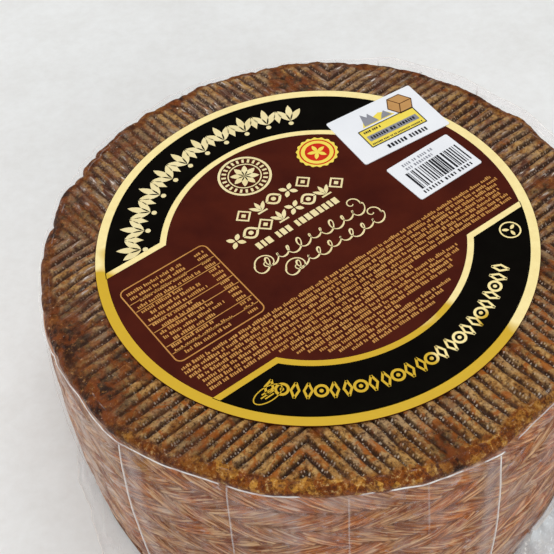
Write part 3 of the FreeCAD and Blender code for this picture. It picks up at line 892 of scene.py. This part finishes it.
class Ink:
    """Flat shapes of one colour, each a thin closed slab on the paper or over other ink."""

    def __init__(self, layers=1, over=0, design=ON_LABEL):
        self.middle, self.factor, paper = design
        self.low = paper + INK_STEP * over - INK_ROOT
        self.high = paper + INK_STEP * (over + layers)
        self.points = []
        self.faces = []

    def lay(self, line):
        """Adds points at both levels and gives the number of the first."""
        first = len(self.points)
        placed = [self.middle + self.factor * point for point in line]
        for level in (self.low, self.high):
            self.points += [(point.real, point.imag, level) for point in placed]
        return first

    def shape(self, outline):
        count = len(outline)
        first = self.lay(outline)
        low = list(range(first, first + count))
        high = [number + count for number in low]
        self.faces += [low[::-1], high]
        for here in range(count):
            after = (here + 1) % count
            self.faces.append([low[here], low[after], high[after], high[here]])

    def stroke(self, line, width, closed=False):
        """A band along a line; width is one number or one for each point."""
        line = np.array(line, complex)
        ways = np.roll(line, -1) - np.roll(line, 1) if closed else np.gradient(line)
        aside = 1j * ways / np.maximum(np.abs(ways), 1e-9) * np.broadcast_to(width, len(line)) / 2
        first = self.lay([*(line - aside), *(line + aside)])
        count = len(line)
        for here in range(count if closed else count - 1):
            ends = here, (here + 1) % count
            corners = [first + side * count + end for side in range(4) for end in ends]
            self.faces += [[corners[corner] for corner in face] for face in BAND_FACES]
        if not closed:
            for end, sides in BAND_ENDS:
                self.faces.append([first + side * count + end % count for side in sides])

    def box(self, middle, wide, high, turn=0.0):
        corner = complex(wide, high) / 2
        corners = (-corner, corner.conjugate(), corner, -corner.conjugate())
        self.shape([middle + rect(1, turn) * corner for corner in corners])

    def disc(self, middle, radius, count=48, lobes=0, lobe=0.0):
        self.shape([middle + rect(radius * (1 + lobe * math.cos(lobes * angle)), angle)
                    for angle in bearings_of(count)])

    def circle(self, middle, radius, width, steps):
        line = [middle + rect(radius, angle) for angle in bearings_of(steps)]
        self.stroke(line, width, closed=True)

    def leaf(self, stalk, length, width, turn):
        """A pointed leaf from its stalk end."""
        shares = np.linspace(0, 1, 7)
        half = [complex(length * share, width / 2 * math.sin(math.pi * share) ** 0.8)
                for share in shares]
        outline = half[:-1] + [point.conjugate() for point in half[:0:-1]]
        self.shape([stalk + rect(1, turn) * point for point in outline[::-1]])

    def leaves(self, stalk, length, width, turns):
        for turn in turns:
            self.leaf(stalk, length, width, turn)

    def words(self, random, start, length, height, letter=0.5, gap=0.26, ragged=0.45):
        """Small upright marks in groups, in place of a line of type."""
        place, end = start.real, start.real + length
        left = random.integers(3, 9)
        while place < end:
            wide = height * letter * random.uniform(0.7, 1.3)
            if place + wide > end:
                break
            tall = height * (1 + ragged * random.uniform(-0.5, 1.0))
            self.box(complex(place + wide / 2, start.imag + (tall - height) / 2), wide, tall)
            place += wide + height * gap
            left -= 1
            if left == 0:
                place += height * 0.55
                left = random.integers(2, 10)

    def piece(self, name, material):
        return mesh_piece(name, self.points, self.faces, material, shade=False)


# The label's gold ring, the black bands and gold arcs inside it, and their level ends
RING = (0.952, 0.998)
BAND_INNER = 0.708
ARC_INNER = 0.679
UPPER_LINE = 0.43
LOWER_LINE = -0.45
LINE_WIDTH = 0.03


def band_outline(inner, outer, line, steps=90):
    """The part of a ring beyond a level line, above it or below."""
    wide, narrow = (math.asin(abs(line) / radius) for radius in (outer, inner))
    points = [rect(outer, angle) for angle in np.linspace(wide, math.pi - wide, steps)]
    points += [rect(inner, angle) for angle in np.linspace(math.pi - narrow, narrow, steps)]
    return points if line > 0 else [point.conjugate() for point in points][::-1]


def label_fields(gold, black):
    foil = Ink()
    foil.circle(0, sum(RING) / 2, RING[1] - RING[0], 360)
    dark = Ink(2)
    for line, inwards in ((UPPER_LINE, -LINE_WIDTH), (LOWER_LINE, LINE_WIDTH)):
        foil.shape(band_outline(ARC_INNER, RING[0] + 0.004, line + inwards))
        dark.shape(band_outline(BAND_INNER, RING[0], line))
    return [foil.piece("print_gold_fields", gold), dark.piece("print_black_bands", black)]


def upper_border(cream):
    """Sheaves of three leaves with lozenges between them, on the upper band."""
    ink = Ink(1, 2)
    length = 0.115
    for number, angle in enumerate(np.radians(np.linspace(145.5, 61, 21))):
        if number % 2:
            corners = 0.045, 0.02j, -0.045, -0.02j
            ink.shape([rect(1, angle) * (0.828 + corner) for corner in corners])
            continue
        stalk = rect(0.79, angle)
        for fan, size in ((-0.62, 0.86), (0.0, 1.0), (0.62, 0.86)):
            ink.leaf(stalk, length * size, length * 0.3, angle + fan)
        ink.disc(stalk - rect(0.16 * length, angle), 0.11 * length, 16)
    return ink.piece("print_upper_border", cream)


def lower_border(gold):
    """Open lozenges and eyed rings on the lower band, with a mark at each end."""
    ink = Ink(1, 2)
    middle, tip, bulge = 0.832, 0.038, 0.017j
    for number, angle in enumerate(np.radians(np.linspace(-141, -52, 25))):
        way = rect(1, angle)
        if number % 3 == 1:
            ink.circle(middle * way, 0.026, 0.012, 28)
            ink.disc(middle * way, 0.009, 12)
            continue
        for bow in ((tip, bulge, -tip), (-tip, -bulge, tip)):
            ink.stroke([way * (middle + point) for point in bow], 0.011)
    mark = 0.70 - 0.522j
    ink.circle(mark, 0.046, 0.007, 40)
    for angle in bearings_of(3) + 0.4:
        ink.leaf(mark + rect(0.004, angle), 0.034, 0.016, angle)
    oval = -0.671 - 0.548j
    ink.stroke([oval + complex(0.068 * math.cos(t), 0.034 * math.sin(t)) for t in bearings_of(48)],
               0.005, closed=True)
    for row in (0.012, 0.0, -0.012):
        ink.box(oval + row * 1j, 0.07 - 2.2 * abs(row), 0.006)
    return ink.piece("print_lower_border", gold)


def ornament(ink, kind, at, size):
    """One bold sign of the headline: nested lozenge, eyed petal, cross of leaves or fan."""
    half, bold = size / 2, 0.16 * size
    if kind == 0:
        ink.stroke([at + half * corner for corner in (-1j, 1, 1j, -1)], bold, closed=True)
        ink.box(at, 0.26 * size, 0.26 * size, math.pi / 4)
    elif kind == 1:
        for side in (1, -1):
            ink.stroke([at + complex(size * t - half, side * 0.42 * size * math.sin(math.pi * t))
                        for t in np.linspace(0, 1, 13)], bold)
        ink.disc(at, bold, 20)
    elif kind == 2:
        for angle in bearings_of(4) + math.pi / 4:
            ink.leaf(at + rect(0.06 * size, angle), 0.56 * size, 0.3 * size, angle)
    else:
        turns = [QUARTER_TURN + fan for fan in (-0.7, 0, 0.7)]
        ink.leaves(at - 0.36j * size, 0.84 * size, 0.26 * size, turns)
        ink.box(at - 0.44j * size, 0.7 * size, 0.12 * size)


def curl(ink, end, start, turns, radius):
    """A spiral that widens to its end."""
    line = [rect(radius * share, start - TAU * turns * (1 - share))
            for share in np.linspace(0.12, 1, 60)]
    ink.stroke([end + point - line[-1] for point in line], np.linspace(0.004, 0.007, len(line)))


def scroll(ink, start, length, loops, lift):
    """A line of uneven loops with a curl at each end."""
    share = np.linspace(0, 1, 40 * loops)
    phase = TAU * loops * share
    swell = 0.5 + 0.5 * np.sin(3.1 * share * math.pi + 1) ** 2
    across = length * share - 0.026 * swell * np.sin(phase)
    along = lift * swell * np.cos(phase + 0.4) + 0.008 * np.sin(5 * share)
    line = start + across + 1j * along
    ink.stroke(line, 0.0045 + 0.0045 * np.cos(phase) ** 2)
    curl(ink, line[0], 0.9 * math.pi, 1.3, 0.055)
    curl(ink, line[-1], -0.2 * math.pi, -1.1, 0.04)


def headline(cream):
    ink = Ink()
    for level, length, kinds in ((0.318, 0.43, (0, 3, 1, 2, 0)),
                                 (0.212, 0.66, (2, 1, 0, 3, 2, 1, 3, 0))):
        step = length / len(kinds)
        for number, kind in enumerate(kinds):
            ornament(ink, kind, complex((number + 0.5) * step - length / 2, level), 0.076)
    ink.words(np.random.default_rng(11), -0.235 + 0.124j, 0.47, 0.04, 0.55, 0.2, 0)
    scroll(ink, -0.31 + 0.012j, 0.6, 10, 0.034)
    scroll(ink, -0.21 - 0.085j, 0.54, 9, 0.03)
    return ink.piece("print_headline", cream)


def emblems(cream, yellow, red):
    ring = Ink()
    middle = -0.016 + 0.527j
    ring.circle(middle, 0.124, 0.012, 96)
    ring.circle(middle, 0.079, 0.006, 72)
    for angle in bearings_of(24):
        ring.box(middle + rect(0.101, angle), 0.022, 0.011, angle)
    ring.leaves(middle, 0.07, 0.07 * 0.42, bearings_of(8) + 0.2)
    middle = 0.347 + 0.431j
    scallops = Ink()
    scallops.disc(middle, 0.1, 192, 18, 0.035)
    crimson = Ink(2)
    crimson.circle(middle, 0.083, 0.007, 96)
    crimson.disc(middle, 0.06, 64)
    petals = Ink(2, 1)
    petals.leaves(middle, 0.05, 0.05 * 0.42, bearings_of(5) + 0.2)
    return [ring.piece("print_ring_emblem", cream), scallops.piece("print_seal_yellow", yellow),
            crimson.piece("print_seal_red", red), petals.piece("print_seal_petals", yellow)]


def small_print(gold):
    """Rows of tiny marks on the lower half, and a ruled table on the left."""
    random = np.random.default_rng(5)
    marks = Ink()
    height, pitch = 0.0135, 0.0262
    for row in range(17):
        level = -0.222 - pitch * row
        bound = 0.93 if level > LOWER_LINE + 0.045 else 0.655
        reach = math.sqrt(bound ** 2 - (level - 0.01) ** 2)
        indent = random.uniform(0, 0.03)
        cut = random.uniform(0.15, 0.4) if row in (7, 12, 16) else random.uniform(0, 0.04)
        marks.words(random, complex(indent - reach, level), 2 * reach - indent - cut, height)
    rules = Ink()
    middle, half, corner = -0.64 + 0.054j, 0.228 + 0.242j, 0.03
    inner = half - corner * (1 + 1j)
    corners = inner, -inner.conjugate(), -inner, inner.conjugate()
    rules.stroke([middle + way + rect(corner, angle) for turn, way in enumerate(corners)
                  for angle in np.linspace(turn, turn + 1, 8) * QUARTER_TURN], 0.006, closed=True)
    for level in (0.205, 0.155, 0.06, 0.012, -0.085, -0.132):
        rules.box(complex(middle.real, level), 2 * half.real - 0.012, 0.004)
    for number, level in enumerate(np.linspace(0.26, -0.158, 15)):
        start = -0.814 if number % 3 == 2 else -0.844
        marks.words(random, complex(start, level), random.uniform(0.2, 0.33), height)
        marks.words(random, complex(-0.487, level), 0.055, height, ragged=0.3)
    return [marks.piece("print_small_type", gold), rules.piece("print_table_rules", gold)]


def seal_print(inks):
    """A panel, hills, a badge and rows of marks."""
    random = np.random.default_rng(3)
    design = design_on("control_seal", 27.5)
    yellow, grey, dark, tan, brown = (Ink(layers, design=design) for layers in (1, 2, 3, 2, 3))
    yellow.box(0.5 - 2.6j, 25, 9.6)
    yellow.shape([-9 + 3.2j, 5.5 + 3.2j, 3.5 + 6j, 0.5 + 7.4j, -3 + 6.2j, -6 + 8.2j])
    grey.box(0.5 - 3j, 22.5, 3)
    grey.shape([-8 + 3.6j, -1.5 + 3.6j, -3.4 + 9.2j, -4.6 + 7.4j, -6.2 + 10j])
    grey.shape([-0.5 + 3.6j, 4.5 + 3.6j, 2.8 + 7.2j, 1.2 + 5.8j])
    for level in (2.2j, -7.4j):
        dark.box(0.5 + level, 25, 0.35)
    for place in (-12, 13):
        dark.box(place - 2.6j, 0.35, 9.6)
    for row in ((-9.6 - 3j, 20.5, 1.5, 0.5, 0.3), (-10.5 + 0.6j, 8.0, 1.0, 0.5, 0.3),
                (-11 - 6.2j, 23.0, 0.7, 0.5, 0.4), (-7 - 10.4j, 19.0, 1.9, 0.42, 0.35)):
        dark.words(random, *row, 0)
    badge = 10.2 + 6.6j
    tan.disc(badge, 5.4, 6)
    brown.circle(badge, 5.4, 0.4, 6)
    for angle in bearings_of(3):
        brown.stroke([badge, badge + rect(5.2, angle)], 0.35)
    return [ink.piece(name, inks[colour]) for ink, name, colour in (
        (yellow, "seal_yellow", "yellow_ink"), (grey, "seal_grey", "grey_ink"),
        (dark, "seal_dark", "dark_ink"), (tan, "seal_badge", "tan_ink"),
        (brown, "seal_badge_lines", "brown_ink"))]


def code_print(inks):
    """Bars of random width, with marks above and below them."""
    random = np.random.default_rng(8)
    design = design_on("code_sticker", 32.9)
    dark, grey = Ink(design=design), Ink(design=design)
    place, thin = -11.0, 0.3
    while place < 13.0:
        wide = thin * random.integers(1, 4)
        dark.box(complex(place + wide / 2, -1.2), wide, 9.6)
        place += wide + thin * random.integers(1, 4)
    dark.words(random, -11.5 - 7.6j, 24.5, 1.5, 0.45, 0.5, 0)
    for level, length in ((7.4j, 15.0), (5.2j, 14.0)):
        grey.words(random, -9 + level, length, 1.3, 0.45, 0.4, 0)
    return [dark.piece("code_bars", inks["dark_ink"]), grey.piece("code_marks", inks["grey_ink"])]


# --- stage and assembly

def make_floor():
    look = Look("pale_floor")
    mottle = look.plus(look.spots(40, 5.0, 0.65), look.times(look.spots(5, 4.0, 0.7), 0.5))
    colour = look.tinted((229, 229, 227), (mottle, 0.55, 0.95, 1.0, (237, 238, 237)))
    material = look.finish({"Base Color": colour, "Roughness": 0.75, "Specular IOR Level": 0.25})
    half = 3000.0
    points = [(x, y, 0) for x, y in ((-half, -half), (half, -half), (half, half), (-half, half))]
    floor = mesh_piece("floor", points, [[0, 1, 2, 3]], material, shade=False)
    floor.location.z = -0.0002  # in metres: just under the foot


def make_camera():
    """The view down on the wheel's front, placed from the label's middle."""
    lens = bpy.data.cameras.new("camera")
    lens.lens = 74.83
    lens.sensor_width = 36.0
    lens.clip_start = 0.01
    camera = new_object("camera", lens)
    right = Vector((0.99547422, -0.07284352, -0.06103199))
    up = Vector((0.09503201, 0.76304657, 0.63931905))
    turn = Matrix((right, up, right.cross(up))).transposed().to_4x4()
    middle = Vector((LABEL_CENTRE[0], LABEL_CENTRE[1], LABEL_TOP)) * MM
    away = Vector((-0.18908918, -3.46279882, 3.8848222)) * LABEL_RADIUS * MM
    camera.matrix_world = Matrix.Translation(middle + away) @ turn
    scene.camera = camera


def make_light():
    """Three soft lamps, placed in metres, and a pale world."""
    world = bpy.data.worlds.new("studio")
    world.use_nodes = True
    background = world.node_tree.nodes["Background"].inputs
    background["Color"].default_value = (0.98, 0.99, 1.0, 1.0)
    background["Strength"].default_value = 0.35
    scene.world = world
    wheel = Vector((0, 0, 0.06))
    for name, place, size, watts in (
            ("window", (-1.6, 0.9, 1.3), 1.2, 20), ("overhead", (0.4, 0.1, 2.3), 1.5, 20),
            ("front", (0.7, -2.0, 1.2), 1.2, 15)):
        lamp = bpy.data.lights.new(name, "AREA")
        lamp.size = size
        lamp.energy = watts
        light = new_object(name, lamp)
        light.location = place
        light.rotation_euler = (wheel - Vector(place)).to_track_quat("-Z", "Y").to_euler()
    scene.view_settings.view_transform = "Standard"


def ride(pieces, slot, *replaced):
    """Puts pieces on the one body and hides the CAD nodes that they replace; their slot is not used.
    """
    for piece in pieces:
        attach(piece, "root")
        if replaced:
            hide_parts(*replaced)


def main():
    flat_rind = herringbone_rind()
    ride([wheel_top(flat_rind), wheel_side(plaited_rind()), wheel_base(flat_rind)], "rind", "cheese")
    ride([Bag().piece(film_material())], "film", "film_wrap", "film_skirt")

    maroon = paper_material("label_maroon", (78, 26, 12), (62, 17, 8), 0.4, 0.03)
    white = paper_material("sticker_white", (238, 240, 243), (232, 234, 238), 0.5, 0.05)
    for node, material in (("label", maroon), ("control_seal", white), ("code_sticker", white)):
        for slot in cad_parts[node].material_slots:
            slot.material = material

    gold = gold_material()
    inks = {name: ink_material(name, *look) for name, look in INKS.items()}
    cream = inks["cream_ink"]
    ride(label_fields(gold, inks["black_ink"])
         + [upper_border(cream), lower_border(gold), headline(cream)]
         + emblems(cream, inks["yellow_ink"], inks["red_ink"]) + small_print(inks["type_gold"]),
         "label_paper")
    ride(seal_print(inks), "seal_paper")
    ride(code_print(inks), "code_paper")

    make_floor()
    make_camera()
    make_light()


main()
bpy.context.view_layer.update()
